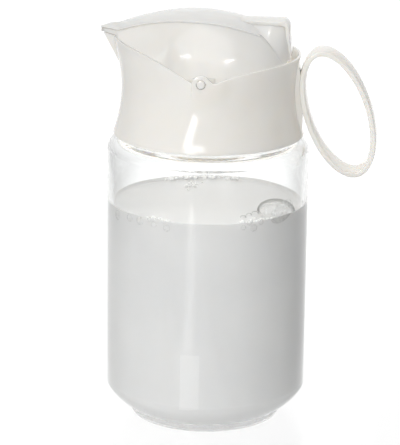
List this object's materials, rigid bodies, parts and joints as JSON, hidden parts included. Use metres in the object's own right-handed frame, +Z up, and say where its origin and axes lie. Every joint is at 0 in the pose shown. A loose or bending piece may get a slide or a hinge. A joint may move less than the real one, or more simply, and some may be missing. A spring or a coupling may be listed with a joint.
{
  "type": "glass milk jug",
  "caption": "Straight glass jar of milk with a waisted white plastic collar that has a pouring beak and a ring handle, and a leaf-shaped lid that tilts on side pins.",
  "frame": {"origin": "on the jar's axis, in the plane that the jar's foot stands on", "axes": "+Z up along the jar's axis, +X towards the ring handle, -X towards the pouring beak, Y along the lid's pins"},
  "size_m": [0.1201, 0.088, 0.1806],
  "materials": {
    "clear_glass": "clear, smooth",
    "milk": "opaque white drink, wet surface",
    "white_plastic": "warm white, glossy"
  },
  "bodies": {
    "jug": {"glass_jar": "clear_glass", "milk": "milk", "collar": "white_plastic"},
    "lid": {"lid": "white_plastic"}
  },
  "joints": [
    {"name": "lid_hinge", "type": "hinge", "parent": "jug", "child": "lid", "pos_m": [0, 0, 0.1569], "axis": [0, 1, 0], "range_deg": [0, 15]}
  ]
}
